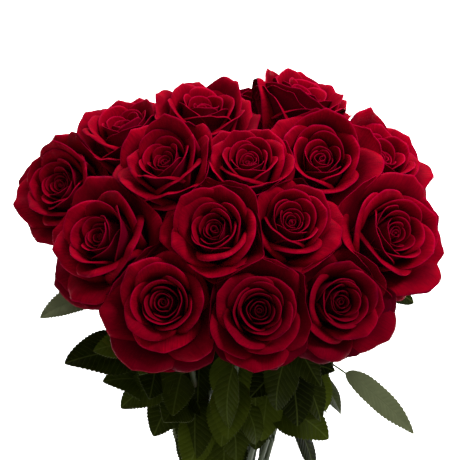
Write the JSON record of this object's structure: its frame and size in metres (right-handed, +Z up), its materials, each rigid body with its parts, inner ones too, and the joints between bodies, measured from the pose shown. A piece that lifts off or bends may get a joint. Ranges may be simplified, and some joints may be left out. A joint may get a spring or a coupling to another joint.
{
  "type": "roses in a vase",
  "caption": "Domed bunch of open deep-red roses on long leafy stems, standing in a plain clear-glass vase part filled with water.",
  "frame": {"origin": "centre of the vase's foot, on the surface it stands on", "axes": "+Z up along the vase's axis; -Y towards the bouquet's front, +X to its right as seen from there"},
  "size_m": [0.3534, 0.3592, 0.6043],
  "materials": {
    "petal": "matte",
    "stem": "satin",
    "leaf": "satin",
    "glass": "gloss",
    "water": "gloss"
  },
  "bodies": {
    "root": {"bloom_back_high": "petal", "bloom_back_left_high": "petal", "bloom_back_left_low": "petal", "bloom_back_low": "petal", "bloom_back_right_low": "petal", "bloom_centre": "petal", "bloom_centre_right": "petal", "bloom_front_left": "petal", "bloom_front_middle": "petal", "bloom_front_right": "petal", "bloom_left_back": "petal", "bloom_left_lower": "petal", "bloom_left_upper": "petal", "bloom_right_lower": "petal", "bloom_right_upper": "petal", "bloom_small_middle": "petal", "bloom_top": "petal", "bloom_top_left": "petal", "bloom_top_right": "petal", "bloom_upper_left": "petal", "bloom_upper_right": "petal", "leaf_left_behind": "leaf", "leaf_left_big": "leaf", "leaf_left_grey": "leaf", "leaf_left_low": "leaf", "leaf_left_rear": "leaf", "leaf_left_small": "leaf", "leaf_low_left": "leaf", "leaf_middle_fold": "leaf", "leaf_middle_long": "leaf", "leaf_middle_low": "leaf", "leaf_rear": "leaf", "leaf_right_dark": "leaf", "leaf_right_high": "leaf", "leaf_right_long": "leaf", "leaf_right_low": "leaf", "leaf_right_rear": "leaf", "stem_back_high": "stem", "stem_back_left_high": "stem", "stem_back_left_low": "stem", "stem_back_low": "stem", "stem_back_right_low": "stem", "stem_centre": "stem", "stem_centre_right": "stem", "stem_front_left": "stem", "stem_front_middle": "stem", "stem_front_right": "stem", "stem_left_back": "stem", "stem_left_lower": "stem", "stem_left_upper": "stem", "stem_right_lower": "stem", "stem_right_upper": "stem", "stem_small_middle": "stem", "stem_top": "stem", "stem_top_left": "stem", "stem_top_right": "stem", "stem_upper_left": "stem", "stem_upper_right": "stem", "vase": "glass", "water": "water"}
  },
  "joints": []
}
